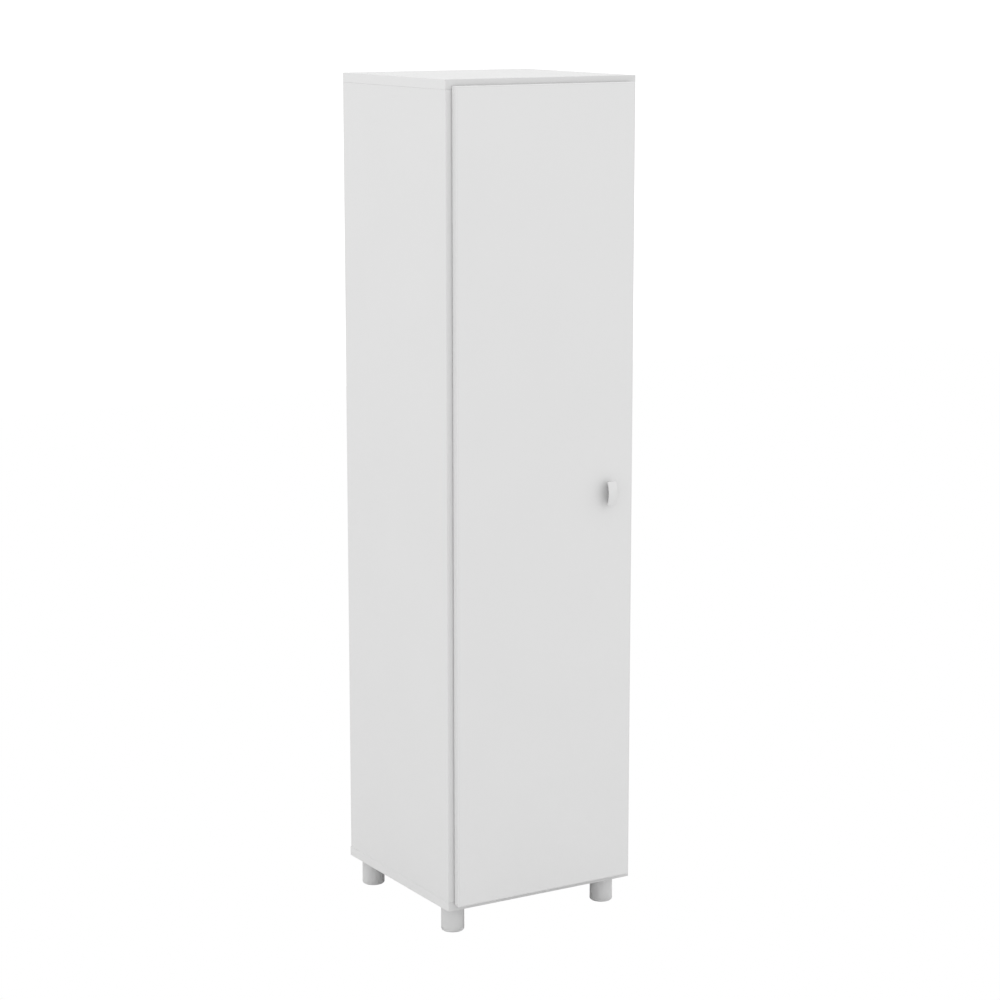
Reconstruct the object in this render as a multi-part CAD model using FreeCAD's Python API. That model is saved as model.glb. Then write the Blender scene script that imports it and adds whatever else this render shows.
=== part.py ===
"""Broom cupboard: a tall flat-pack carcass on four round legs, with one door hung on the left.

Frame: +Z up, the front faces -Y, X runs left to right. The origin is on the floor, in the
middle of the whole cupboard's length and width, handle included. Millimetres throughout.
"""
import FreeCAD, Part

import math
import os

from FreeCAD import Vector

# ---------------------------------------------------------------- driving dimensions
# Carcass boards
carcass_width = 400.0
carcass_height = 1530.0        # from the underside of the bottom panel to the top face
side_depth = 386.0             # depth of the side panels and the top panel
board = 18.0                   # melamine-faced chipboard
back_thickness = 3.0           # hardboard
back_inset = 3.0               # the hardboard stops this far inside the outer faces
board_edge_round = 0.6

# Door
door_thickness = 16.0
door_reveal = 11.5             # carcass edge left showing round the door
door_gap = 1.5                 # between the door's back and the carcass's front edges
door_edge_round = 1.5

# Shelf
upper_compartment_height = 226.0   # from the shelf up to the top panel
shelf_side_clearance = 0.5
shelf_setback = 24.0           # the shelf's front edge behind the carcass's front
shelf_rear_clearance = 1.0
pin_pitch = 32.0
pin_rows = 5                   # holes in each column, the pins in the middle one
pin_front_inset = 37.0         # from the shelf's front and back edges to the pins

# Legs
leg_height = 53.0
leg_top_radius = 21.6
leg_foot_radius = 21.8
leg_side_inset = 34.0          # from the carcass's sides to the leg's centre
leg_front_inset = 44.0
leg_rear_inset = 29.0          # from the side panels' rear edge
leg_wall = 3.0
leg_head = 12.0                # solid top of the leg
glide_height = 6.0
glide_round = 4.0
glide_plug_height = 8.0
glide_groove = 0.5             # the fine line between the glide and the leg
stud_radius = 4.0
stud_grip = 10.0               # how far the stud goes into the leg
insert_radius = 6.0
insert_length = 13.0

# Handle
handle_width = 18.0
handle_length = 45.0
handle_projection = 20.0       # from the door's face to the middle of the strap
handle_rise = 5.0              # the ends of the strap lie this much nearer to the door
handle_thickness = 3.0
handle_root_width = 8.0        # the solid side that stands on the door
handle_root_setback = 3.0      # the solid side ends this far inside the strap's ends
handle_edge_round = 0.8
handle_hole_spacing = 24.0
handle_centre_height = 817.0   # above the floor
handle_edge_distance = 54.5    # from the door's free edge to the handle's centre
handle_screw_radius = 2.0
handle_screw_grip = 8.0
handle_screw_head_radius = 4.0

# Cup hinges
hinge_end_distance = 100.0     # from the door's ends to the outer hinges
cup_radius = 17.5
cup_depth = 13.2
cup_wall = 0.8
cup_edge_distance = 3.0        # from the door's edge to the cup
flange_thickness = 1.0
flange_edge_distance = 4.6     # the flange is cut straight this far from the door's edge
flange_overhang = 1.3
flange_screw_spacing = 48.0
flange_screw_offset = 6.0      # the screws lie further from the door's edge than the cup
flange_ear_radius = 6.5
pivot_edge_distance = 6.4      # from the door's edge to the pivot
pivot_depth = 10.2             # from the door's back face to the pivot
pivot_radius = 1.1
ear_thickness = 2.0
ear_side_clearance = 0.3
ear_nose = 3.2                 # from the pivot to the ears' far ends
eye_radius = 1.9
arm_neck_width = 8.0
arm_width = 16.0
arm_thickness = 1.8
arm_reach = 60.0               # from the carcass's front edge to the arm's rear end
arm_bend_radius = 5.0
arm_neck_offset = 14.5         # from the pivot to the neck that leaves the cup
arm_bend_line = 9.0            # from the carcass's front edge to the neck's last bends
arm_slope = 8.5                # length over which the neck leans across to its plate
arm_channel_lead = 2.0         # how far the arm's channel starts before the ridge
plate_base = 2.0
plate_ridge_height = 6.2       # from the side panel to the top of the ridge
plate_ridge_width = 12.4
plate_ridge_start = 22.0
plate_wing_length = 48.0
plate_wing_width = 16.0
plate_corner_round = 5.3
plate_line = 37.0              # the screws' line behind the carcass's front edge
plate_hole_spacing = 32.0
plate_screw_length = 12.5
arm_screw_line = 50.0

# Small fixings
screw_radius = 1.75
screw_head_radius = 3.6
screw_head_height = 2.0
screw_head_round = 0.9
cup_screw_length = 11.0
fit = 0.05                     # radial clearance of screws, dowels and pins in their holes
seat = 0.3                     # gap left where loose pieces rest on each other
cam_radius = 7.5
cam_depth = 12.5
cam_line = 34.0                # from the side panel's end to the cam's centre
cam_slot_reach = 4.6           # half the length of the cross slot in a cam's face
cam_slot_half_width = 0.7
cam_slot_depth = 2.0
cam_bolt_radius = 3.5
cam_bolt_head_radius = 3.0
cam_bolt_neck_radius = 2.0
cam_bolt_neck = 3.5
cam_bolt_thread_radius = 2.5
cam_bolt_thread = 11.0
cam_inset = 50.0               # from the side panel's front and rear edges
dowel_radius = 4.0
dowel_in_side = 20.0
dowel_in_panel = 10.0
dowel_inset = 100.0
dowel_chamfer = 0.8
shelf_pin_radius = 2.5
shelf_pin_depth = 9.0
shelf_pin_reach = 9.0
shelf_pin_flange_radius = 4.0
shelf_pin_flange = 1.2
nail_radius = 0.7
nail_head_radius = 2.4
nail_head_height = 0.8
nail_length = 18.0
nail_spacing = 250.0
nail_end_distance = 62.5       # from the inner corners to the columns' first and last nails
top_nail_spacing = 200.0
bumper_radius = 3.0
bumper_edge_distance = 4.0
bumper_end_distance = 60.0
bracket_width = 44.0
bracket_leg = 30.0
bracket_thickness = 2.0
bracket_hole_radius = 2.75
bracket_screw_spacing = 26.0
bracket_screw_line = 18.0      # from the back panel to the screws up into the top panel
bracket_hole_drop = 18.0       # from the top panel down to the wall hole
wall_hole_margin = 1.0

# ---------------------------------------------------------------- places that follow
x_left = -carcass_width / 2
x_right = carcass_width / 2
total_depth = (handle_projection + door_thickness + door_gap + side_depth + back_thickness)
y_front = -total_depth / 2 + handle_projection + door_thickness + door_gap
y_rear = y_front + side_depth
y_wall = y_rear + back_thickness
y_door_back = y_front - door_gap
y_door_face = y_door_back - door_thickness
z_base = leg_height
z_top = z_base + carcass_height
z_floor_top = z_base + board
z_ceiling = z_top - board
x_inner_left = x_left + board
x_inner_right = x_right - board

x_door_left = x_left + door_reveal
x_door_right = x_right - door_reveal
z_door_low = z_base + door_reveal
z_door_high = z_top - door_reveal
x_pivot = x_door_left + pivot_edge_distance
y_pivot = y_door_back - pivot_depth

hinge_heights = {
    "bottom": z_door_low + hinge_end_distance,
    "middle": (z_door_low + z_door_high) / 2,
    "top": z_door_high - hinge_end_distance,
}

X, Y, Z = Vector(1, 0, 0), Vector(0, 1, 0), Vector(0, 0, 1)


# ---------------------------------------------------------------- small helpers
def block(x0, x1, y0, y1, z0, z1, rounding=0.0):
    """A box between two corners, with every edge rounded if a rounding is given."""
    solid = Part.makeBox(x1 - x0, y1 - y0, z1 - z0, Vector(x0, y0, z0))
    if rounding:
        solid = solid.makeFillet(rounding, solid.Edges)
    return solid


def rod(centre, axis, radius, start, end):
    """A cylinder about an axis through centre, from start to end along that axis."""
    return Part.makeCylinder(radius, end - start, centre + axis * start, axis)


def fused(solids):
    """One solid from pieces that touch or overlap."""
    return solids[0].multiFuse(solids[1:]).removeSplitter()


def save(node, solids):
    """Write one node: a single solid, or a group of separate solids."""
    shape = solids[0] if len(solids) == 1 else Part.makeCompound(solids)
    shape.exportStep("parts/" + node + ".step")


def revolved(points, centre):
    """A turned solid about a vertical axis through centre, from (radius, height) points."""
    corners = [centre + Vector(radius, 0, height) for radius, height in points]
    outline = Part.makePolygon(corners + corners[:1])
    return Part.Face(outline).revolve(centre, Z, 360)


def bent_strip(points, radius, thickness, width, mid_height):
    """A strip of metal bent in plan along points, with one bend radius on its centre line."""
    left, right = [], []
    runs = [(b - a).normalize() for a, b in zip(points, points[1:])]
    half = thickness / 2

    def side(point, run, sign):
        return point + Vector(-run.y, run.x, 0) * (half * sign)

    ends = {1: side(points[0], runs[0], 1), -1: side(points[0], runs[0], -1)}
    edges = {1: left, -1: right}
    for corner, into, out in zip(points[1:-1], runs, runs[1:]):
        turn = math.atan2(into.x * out.y - into.y * out.x, into.dot(out))
        cut = radius * math.tan(abs(turn) / 2)
        first, last = corner - into * cut, corner + out * cut
        centre = first + Vector(-into.y, into.x, 0) * math.copysign(radius, turn)
        middle = centre + (corner - centre).normalize() * radius
        for sign in (1, -1):
            reach = (radius - sign * math.copysign(half, turn)) / radius
            begin, finish = side(first, into, sign), side(last, out, sign)
            edges[sign].append(Part.LineSegment(ends[sign], begin).toShape())
            bend = Part.Arc(begin, centre + (middle - centre) * reach, finish)
            edges[sign].append(bend.toShape())
            ends[sign] = finish
    for sign in (1, -1):
        finish = side(points[-1], runs[-1], sign)
        edges[sign].append(Part.LineSegment(ends[sign], finish).toShape())
        ends[sign] = finish
    start_cap = Part.LineSegment(side(points[0], runs[0], 1), side(points[0], runs[0], -1))
    end_cap = Part.LineSegment(ends[1], ends[-1])
    outline = Part.Wire(Part.__sortEdges__(left + right + [start_cap.toShape(), end_cap.toShape()]))
    solid = Part.Face(outline).extrude(Z * width)
    solid.translate(Z * (mid_height - width / 2))
    return solid


def screw(seat_point, axis, length, radius=screw_radius, head_radius=screw_head_radius):
    """A pan-head screw: the head stands on seat_point, the shank runs along axis."""
    head = rod(seat_point, axis * -1, head_radius, 0, screw_head_height)
    rim = max(head.Edges, key=lambda edge: (seat_point - edge.CenterOfMass).dot(axis))
    head = head.makeFillet(screw_head_round, [rim])
    return fused([head, rod(seat_point, axis, radius, 0, length)])


def screw_hole(seat_point, axis, length):
    return rod(seat_point, axis, screw_radius + fit, 0, length + seat)


# ---------------------------------------------------------------- places of the fixings
def joint_places(inset):
    """Where a fixing of the corner joints stands: x, y, and which panel it joins (-1 low, 1 high)."""
    for x in (x_left + board / 2, x_right - board / 2):
        for y in (y_front + inset, y_rear - inset):
            for level in (-1, 1):
                yield x, y, level


def joint_plane(level):
    """The height where the side panels meet the bottom or the top panel."""
    return z_floor_top if level < 0 else z_ceiling


leg_places = {
    "front_left": (x_left + leg_side_inset, y_front + leg_front_inset),
    "front_right": (x_right - leg_side_inset, y_front + leg_front_inset),
    "rear_left": (x_left + leg_side_inset, y_rear - leg_rear_inset),
    "rear_right": (x_right - leg_side_inset, y_rear - leg_rear_inset),
}

shelf_low = z_ceiling - upper_compartment_height - board
shelf_front = y_front + shelf_setback
shelf_rear = y_rear - shelf_rear_clearance
pin_height = shelf_low - shelf_pin_radius - seat
pin_lines = (shelf_front + pin_front_inset, shelf_rear - pin_front_inset)
plate_holes = (-plate_hole_spacing / 2, plate_hole_spacing / 2)
handle_x = x_door_right - handle_edge_distance
handle_screw_x = handle_x + handle_width / 2 - handle_root_width / 2
handle_screw_heights = (
    handle_centre_height - handle_hole_spacing / 2,
    handle_centre_height + handle_hole_spacing / 2,
)
cup_x = x_door_left + cup_edge_distance + cup_radius
flange_screw_x = cup_x + flange_screw_offset
flange_screws = (-flange_screw_spacing / 2, flange_screw_spacing / 2)
bracket_screw_places = (-bracket_screw_spacing / 2, bracket_screw_spacing / 2)
z_wall_hole = z_ceiling - bracket_hole_drop


def nail_places():
    """The back panel's nails: x and z, in two columns and one row along the top."""
    low = z_floor_top + nail_end_distance
    high = z_ceiling - nail_end_distance
    count = max(2, round((high - low) / nail_spacing) + 1)
    for x in (x_left + board / 2, x_right - board / 2):
        for index in range(count):
            yield x, low + (high - low) * index / (count - 1)
    for x in (-top_nail_spacing / 2, top_nail_spacing / 2):
        yield x, z_ceiling + board / 2


# ---------------------------------------------------------------- carcass boards
def side_panel(x0, x1, inward):
    """A side panel with its cam, bolt, dowel and shelf-pin holes; inward is +1 or -1 along X."""
    inner = x1 if inward > 0 else x0
    middle = (x0 + x1) / 2
    panel = block(x0, x1, y_front, y_rear, z_floor_top, z_ceiling, board_edge_round)
    holes = []
    for x, y, level in joint_places(cam_inset):
        if abs(x - middle) < board:
            end = Vector(x, y, joint_plane(level))
            into = Z * -level
            cam_centre = Vector(inner, y, end.z + into.z * cam_line)
            holes.append(rod(cam_centre, X * -inward, cam_radius + fit, 0, cam_depth + seat))
            holes.append(rod(end, into, cam_bolt_radius + fit, 0, cam_line))
    for x, y, level in joint_places(dowel_inset):
        if abs(x - middle) < board:
            end = Vector(x, y, joint_plane(level))
            holes.append(rod(end, Z * -level, dowel_radius + fit, 0, dowel_in_side + seat))
    for y in pin_lines:
        for index in range(pin_rows):
            z = pin_height + (index - pin_rows // 2) * pin_pitch
            mouth = Vector(inner, y, z)
            holes.append(rod(mouth, X * -inward, shelf_pin_radius + fit, 0, shelf_pin_depth + seat))
    if inward > 0:
        for height in hinge_heights.values():
            for offset in plate_holes:
                mouth = Vector(inner, y_front + plate_line, height + offset)
                holes.append(screw_hole(mouth, X * -inward, plate_screw_length))
    for x, z in nail_places():
        if abs(x - middle) < board and z < z_ceiling:
            holes.append(nail_hole(x, z))
    return panel.cut(holes)


def nail_hole(x, z):
    return rod(Vector(x, y_wall, z), Y * -1, nail_radius + fit, 0, nail_length + seat)


def joint_holes(level):
    """Holes in the top or bottom panel for the cam bolts and the dowels."""
    holes = []
    for x, y, at in joint_places(cam_inset):
        if at == level:
            mouth = Vector(x, y, joint_plane(level))
            holes.append(rod(mouth, Z * level, cam_bolt_thread_radius + fit, 0,
                             cam_bolt_thread + seat))
    for x, y, at in joint_places(dowel_inset):
        if at == level:
            mouth = Vector(x, y, joint_plane(level))
            holes.append(rod(mouth, Z * level, dowel_radius + fit, 0, dowel_in_panel + seat))
    return holes


def top_panel():
    panel = block(x_left, x_right, y_front, y_rear, z_ceiling, z_top, board_edge_round)
    holes = joint_holes(1)
    holes += [nail_hole(x, z) for x, z in nail_places() if z > z_ceiling]
    for x in bracket_screw_places:
        mouth = Vector(x, y_rear - bracket_screw_line, z_ceiling)
        holes.append(screw_hole(mouth, Z, cup_screw_length))
    return panel.cut(holes)


def bottom_panel():
    """As deep as the sides and the back together, so the hardboard stands on its rear edge."""
    panel = block(x_left, x_right, y_front, y_wall, z_base, z_floor_top, board_edge_round)
    holes = joint_holes(-1)
    for x, y in leg_places.values():
        holes.append(rod(Vector(x, y, z_base), Z, insert_radius + fit, 0, insert_length + seat))
    return panel.cut(holes)


def back_panel():
    """Hardboard over the rear edges of the sides and the top, standing on the bottom panel."""
    panel = block(x_left + back_inset, x_right - back_inset, y_rear, y_wall,
                  z_floor_top, z_top - back_inset)
    holes = []
    for x, z in nail_places():
        outside = Vector(x, y_wall, z)
        holes.append(nail_hole(x, z))
        holes.append(rod(outside, Y * -1, nail_head_radius + fit, 0, nail_head_height + fit))
    wall_hole = Vector(0, y_wall, z_wall_hole)
    holes.append(rod(wall_hole, Y * -1, bracket_hole_radius + wall_hole_margin,
                     0, back_thickness))
    return panel.cut(holes)


def back_panel_nails():
    nails = []
    for x, z in nail_places():
        outside = Vector(x, y_wall, z)
        head = rod(outside, Y * -1, nail_head_radius, 0, nail_head_height)
        nails.append(fused([head, rod(outside, Y * -1, nail_radius, 0, nail_length)]))
    return nails


# ---------------------------------------------------------------- corner fixings
def cam_locks():
    """Round cams let into the side panels' inner faces, each cut open for its bolt's head."""
    cams = []
    for x, y, level in joint_places(cam_inset):
        inward = 1 if x < 0 else -1
        face = Vector(x + inward * board / 2, y, joint_plane(level) - level * cam_line)
        cam = rod(face, X * -inward, cam_radius, 0, cam_depth)
        centre = Vector(x, y, face.z)
        pocket = rod(centre, Z * level, cam_bolt_radius + fit, -cam_bolt_radius - fit, cam_line)
        slots = [block(face.x - cam_slot_depth, face.x + cam_slot_depth, y - along, y + along,
                       face.z - across, face.z + across)
                 for along, across in ((cam_slot_reach, cam_slot_half_width),
                                       (cam_slot_half_width, cam_slot_reach))]
        cams.append(cam.cut([pocket] + slots))
    return cams


def cam_bolts():
    """Bolts screwed into the top and bottom panels, whose heads the cams pull on."""
    bolts = []
    for x, y, level in joint_places(cam_inset):
        joint = Vector(x, y, joint_plane(level))
        into_side = Z * -level
        shank_end = cam_line - cam_bolt_neck
        bolts.append(fused([
            rod(joint, into_side, cam_bolt_thread_radius, -cam_bolt_thread, 0),
            rod(joint, into_side, cam_bolt_head_radius, 0, shank_end - cam_bolt_neck),
            rod(joint, into_side, cam_bolt_neck_radius, 0, shank_end),
            rod(joint, into_side, cam_bolt_head_radius, shank_end, cam_line),
        ]))
    return bolts


def wooden_dowels():
    dowels = []
    for x, y, level in joint_places(dowel_inset):
        joint = Vector(x, y, joint_plane(level))
        dowel = rod(joint, Z * -level, dowel_radius, -dowel_in_panel, dowel_in_side)
        ends = [edge for edge in dowel.Edges if len(edge.Vertexes) == 1]
        dowels.append(dowel.makeChamfer(dowel_chamfer, ends))
    return dowels


# ---------------------------------------------------------------- shelf
def upper_shelf():
    return block(x_inner_left + shelf_side_clearance, x_inner_right - shelf_side_clearance,
                 shelf_front, shelf_rear, shelf_low, shelf_low + board, board_edge_round)


def shelf_pins():
    """Plug-in pins: a stem in the side panel, a thin flange and a stub under the shelf."""
    pins = []
    for x, inward in ((x_inner_left, 1), (x_inner_right, -1)):
        for y in pin_lines:
            mouth = Vector(x, y, pin_height)
            stem = rod(mouth, X * inward, shelf_pin_radius, -shelf_pin_depth, shelf_pin_reach)
            flange = rod(mouth, X * inward, shelf_pin_flange_radius, 0, shelf_pin_flange)
            over = block(min(x, x + inward * shelf_pin_reach), max(x, x + inward * shelf_pin_reach),
                         y - shelf_pin_flange_radius, y + shelf_pin_flange_radius,
                         shelf_low - seat, shelf_low + shelf_pin_flange_radius)
            pins.append(fused([stem, flange]).cut([over]))
    return pins


# ---------------------------------------------------------------- legs
def leg(x, y):
    """A tapered plastic leg, hollow from below, with a stud hole in its solid head."""
    foot = Vector(x, y, 0)
    mouth = leg_foot_radius - leg_wall
    hollow_top = leg_height - leg_head
    slope = (leg_foot_radius - leg_top_radius) / leg_height
    body = revolved([
        (0, glide_height), (leg_foot_radius - slope * glide_height, glide_height),
        (leg_top_radius, leg_height), (0, leg_height),
    ], foot)
    hollow = rod(foot, Z, mouth, glide_height, hollow_top)
    stud_hole = rod(foot, Z, stud_radius + fit, leg_height - stud_grip - seat, leg_height)
    return body.cut([hollow, stud_hole])


def leg_glide(x, y):
    """The foot's plastic glide: a rounded disc under the leg with a plug up inside it."""
    foot = Vector(x, y, 0)
    disc = rod(foot, Z, leg_foot_radius, 0, glide_height)
    rim = min((edge for edge in disc.Edges if len(edge.Vertexes) == 1),
              key=lambda edge: edge.CenterOfMass.z)
    disc = disc.makeFillet(glide_round, [rim])
    plug_radius = leg_foot_radius - leg_wall - fit
    plug = rod(foot, Z, plug_radius, 0, glide_height + glide_plug_height)
    core = rod(foot, Z, plug_radius - leg_wall, glide_height, glide_height + glide_plug_height)
    groove = rod(foot, Z, leg_foot_radius, glide_height - glide_groove, glide_height)
    neck = rod(foot, Z, leg_foot_radius - glide_groove, glide_height - glide_groove, glide_height)
    return fused([disc.cut(groove), neck, plug]).cut(core)


def leg_studs():
    top = leg_height + insert_length
    return [rod(Vector(x, y, 0), Z, stud_radius, leg_height - stud_grip, top)
            for x, y in leg_places.values()]


def leg_inserts():
    """Threaded bushes let into the bottom panel's underside."""
    bushes = []
    for x, y in leg_places.values():
        foot = Vector(x, y, z_base)
        bush = rod(foot, Z, insert_radius, 0, insert_length)
        bushes.append(bush.cut(rod(foot, Z, stud_radius + fit, 0, insert_length)))
    return bushes


# ---------------------------------------------------------------- door and handle
def door_panel():
    panel = block(x_door_left, x_door_right, y_door_face, y_door_back,
                  z_door_low, z_door_high, door_edge_round)
    holes = []
    for height in hinge_heights.values():
        mouth = Vector(cup_x, y_door_back, height)
        holes.append(rod(mouth, Y * -1, cup_radius + 2 * fit, 0, cup_depth + 2 * fit))
        for offset in flange_screws:
            hole_mouth = Vector(flange_screw_x, y_door_back, height + offset)
            holes.append(screw_hole(hole_mouth, Y * -1, cup_screw_length))
    for z in handle_screw_heights:
        mouth = Vector(handle_screw_x, y_door_back, z)
        holes.append(rod(mouth, Y * -1, handle_screw_radius + fit, 0, door_thickness))
    return panel.cut(holes)


def bowed_plate(x0, x1, back_depth):
    """A plate whose front is bowed along Z; its back is bowed alike, or flat on the door."""
    def bow(depth, direction):
        ends = [Vector(0, y_door_face - depth + handle_rise,
                       handle_centre_height + handle_length / 2 * side)
                for side in (-direction, direction)]
        return Part.Arc(ends[0], Vector(0, y_door_face - depth, handle_centre_height), ends[1])

    front = bow(handle_projection, 1)
    if back_depth:
        back = [bow(back_depth, -1)]
    else:
        feet = [Vector(0, y_door_face, handle_centre_height + handle_length / 2 * side)
                for side in (1, -1)]
        back = [Part.LineSegment(*feet)]
    sides = [Part.LineSegment(front.EndPoint, back[0].StartPoint),
             Part.LineSegment(back[0].EndPoint, front.StartPoint)]
    edges = [curve.toShape() for curve in [front] + back + sides]
    plate = Part.Face(Part.Wire(Part.__sortEdges__(edges))).extrude(X * (x1 - x0))
    plate.translate(X * x0)
    return plate


def handle():
    """A gently bowed strap, open for the fingers on the left; its solid right side takes the screws."""
    low, high = handle_x - handle_width / 2, handle_x + handle_width / 2
    inner_corner, root_end = high - handle_root_width, handle_length / 2 - handle_root_setback
    strap = bowed_plate(low, high, handle_projection - handle_thickness)
    root = bowed_plate(inner_corner, high, 0).common(block(
        inner_corner, high, y_door_face - handle_projection, y_door_face,
        handle_centre_height - root_end, handle_centre_height + root_end))
    body = fused([strap, root])

    def moulded(edge):
        """Outer edges are rounded; those on the door and in the root's corners stay sharp."""
        off_door = edge.BoundBox.YMax < y_door_face - handle_edge_round
        end_distance = abs(edge.CenterOfMass.z - handle_centre_height) - root_end
        return (off_door and abs(end_distance) > handle_edge_round / 2
                and abs(edge.CenterOfMass.x - inner_corner) > handle_edge_round)

    rounded = [edge for edge in body.Edges if moulded(edge)]
    body = body.makeFillet(handle_edge_round, rounded)
    holes = [rod(Vector(handle_screw_x, y_door_face, z), Y * -1, handle_screw_radius + fit,
                 0, handle_screw_grip + seat) for z in handle_screw_heights]
    return body.cut(holes)


def handle_screws():
    """From behind the door through into the handle's solid side."""
    return [screw(Vector(handle_screw_x, y_door_back, z), Y * -1,
                  door_thickness + handle_screw_grip,
                  handle_screw_radius, handle_screw_head_radius) for z in handle_screw_heights]


def door_bumpers():
    """Soft dots on the door's back that meet the right side panel's front edge."""
    x = x_door_right - bumper_edge_distance
    return [rod(Vector(x, y_door_back, z), Y, bumper_radius, 0, door_gap - seat)
            for z in (z_door_low + bumper_end_distance, z_door_high - bumper_end_distance)]


# ---------------------------------------------------------------- hinges
def hinge_cup(height):
    """The cup sunk in the door, with its flange and the two ears that hold the pivot."""
    mouth = Vector(cup_x, y_door_back, height)
    shell = rod(mouth, Y * -1, cup_radius, 0, cup_depth)
    rim = rod(mouth, Y, cup_radius + flange_overhang, 0, flange_thickness)
    left_limit = x_door_left + flange_edge_distance
    trim = block(x_left, left_limit, y_door_back, y_front, height - arm_reach, height + arm_reach)
    lobes = [block(flange_screw_x - flange_ear_radius, flange_screw_x + flange_ear_radius,
                   y_door_back, y_door_back + flange_thickness,
                   height + flange_screws[0], height + flange_screws[1])]
    holes = []
    for offset in flange_screws:
        lobe = Vector(flange_screw_x, y_door_back, height + offset)
        lobes.append(rod(lobe, Y, flange_ear_radius, 0, flange_thickness))
        holes.append(rod(lobe, Y, screw_radius + fit, 0, flange_thickness))
    flange = fused([rim] + lobes).cut([trim])
    cavity_radius = cup_radius - cup_wall
    cavity = rod(mouth, Y, cavity_radius, cup_wall - cup_depth, flange_thickness)
    body = fused([shell, flange]).cut([cavity] + holes)
    inner = arm_neck_width / 2 + ear_side_clearance
    ears = []
    for side in (-1, 1):
        low, high = sorted((height + side * inner, height + side * (inner + ear_thickness)))
        ear = block(x_door_left + cup_edge_distance, x_pivot + ear_nose,
                    y_door_back - cup_depth + cup_wall / 2, y_pivot + eye_radius, low, high)
        ears.append(ear.common(shell))
    pin_hole = rod(Vector(x_pivot, y_pivot, height), Z, pivot_radius + fit / 2,
                   -inner - ear_thickness, inner + ear_thickness)
    return fused([body] + ears).cut([pin_hole])


def hinge_pin(height):
    reach = arm_neck_width / 2 + ear_side_clearance + ear_thickness
    return rod(Vector(x_pivot, y_pivot, height), Z, pivot_radius, -reach, reach)


def hinge_arm(height):
    """A gooseneck from the pivot, out of the cup's mouth and round to its plate."""
    arm_x = x_inner_left + plate_ridge_height + seat + arm_thickness / 2
    neck_x = x_pivot + arm_neck_offset
    neck_y = y_pivot - eye_radius + arm_thickness / 2
    bend_y = y_front + arm_bend_line
    channel_start = y_front + plate_ridge_start - arm_channel_lead
    path = [
        Vector(x_pivot, neck_y, 0), Vector(neck_x, neck_y, 0), Vector(neck_x, bend_y, 0),
        Vector(arm_x, bend_y + arm_slope, 0), Vector(arm_x, y_front + arm_reach, 0),
    ]
    neck = bent_strip(path, arm_bend_radius, arm_thickness, arm_neck_width, height)
    pivot = Vector(x_pivot, y_pivot, height)
    eye = rod(pivot, Z, eye_radius, -arm_neck_width / 2, arm_neck_width / 2)
    half = arm_width / 2
    top = block(arm_x - arm_thickness / 2, arm_x + arm_thickness / 2, channel_start,
                y_front + arm_reach, height - half, height + half)
    cheek = half - plate_ridge_width / 2 - seat
    cheeks = [block(x_inner_left + plate_base + seat, arm_x + arm_thickness / 2, channel_start,
                    y_front + arm_reach, *sorted((height + side * half, height + side * (half - cheek))))
              for side in (-1, 1)]
    bore = rod(pivot, Z, pivot_radius + fit, -arm_neck_width / 2, arm_neck_width / 2)
    screw_seat = Vector(arm_x, y_front + arm_screw_line, height)
    hole = rod(screw_seat, X, screw_radius + fit, -arm_thickness, arm_thickness)
    return fused([neck, eye, top] + cheeks).cut([bore, hole])


def hinge_plate(height):
    """The mounting plate on the side panel: two wings and the ridge that the arm straddles."""
    wings = block(x_inner_left, x_inner_left + plate_base,
                  y_front + plate_line - plate_wing_width / 2,
                  y_front + plate_line + plate_wing_width / 2,
                  height - plate_wing_length / 2, height + plate_wing_length / 2)
    corners = [edge for edge in wings.Edges if abs(edge.tangentAt(edge.FirstParameter).x) > 0.9]
    wings = wings.makeFillet(plate_corner_round, corners)
    ridge = block(x_inner_left, x_inner_left + plate_ridge_height,
                  y_front + plate_ridge_start, y_front + arm_reach,
                  height - plate_ridge_width / 2, height + plate_ridge_width / 2)
    holes = [rod(Vector(x_inner_left, y_front + plate_line, height + offset), X,
                 screw_radius + fit, 0, plate_base) for offset in plate_holes]
    holes.append(rod(Vector(x_inner_left, y_front + arm_screw_line, height), X,
                     screw_radius + fit, 0, plate_ridge_height))
    return fused([wings, ridge]).cut(holes)


def cup_screws():
    return [screw(Vector(flange_screw_x, y_door_back + flange_thickness, height + offset),
                  Y * -1, cup_screw_length + flange_thickness)
            for height in hinge_heights.values() for offset in flange_screws]


def plate_screws():
    return [screw(Vector(x_inner_left + plate_base, y_front + plate_line, height + offset),
                  X * -1, plate_screw_length + plate_base)
            for height in hinge_heights.values() for offset in plate_holes]


def arm_screws():
    seat_x = x_inner_left + plate_ridge_height + seat + arm_thickness
    return [screw(Vector(seat_x, y_front + arm_screw_line, height), X * -1,
                  arm_thickness + seat + plate_ridge_height)
            for height in hinge_heights.values()]


# ---------------------------------------------------------------- wall bracket
def wall_bracket():
    """A steel angle under the top panel, with one hole for a screw through the back to a wall."""
    half = bracket_width / 2
    upright = block(-half, half, y_rear - bracket_thickness, y_rear,
                    z_ceiling - bracket_leg, z_ceiling)
    arm = block(-half, half, y_rear - bracket_leg, y_rear, z_ceiling - bracket_thickness, z_ceiling)
    holes = [rod(Vector(0, y_rear, z_wall_hole), Y * -1, bracket_hole_radius,
                 0, bracket_thickness)]
    for x in bracket_screw_places:
        under = Vector(x, y_rear - bracket_screw_line, z_ceiling)
        holes.append(rod(under, Z * -1, screw_radius + fit, 0, bracket_thickness))
    return fused([upright, arm]).cut(holes)


def wall_bracket_screws():
    return [screw(Vector(x, y_rear - bracket_screw_line, z_ceiling - bracket_thickness),
                  Z, cup_screw_length + bracket_thickness) for x in bracket_screw_places]


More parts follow.
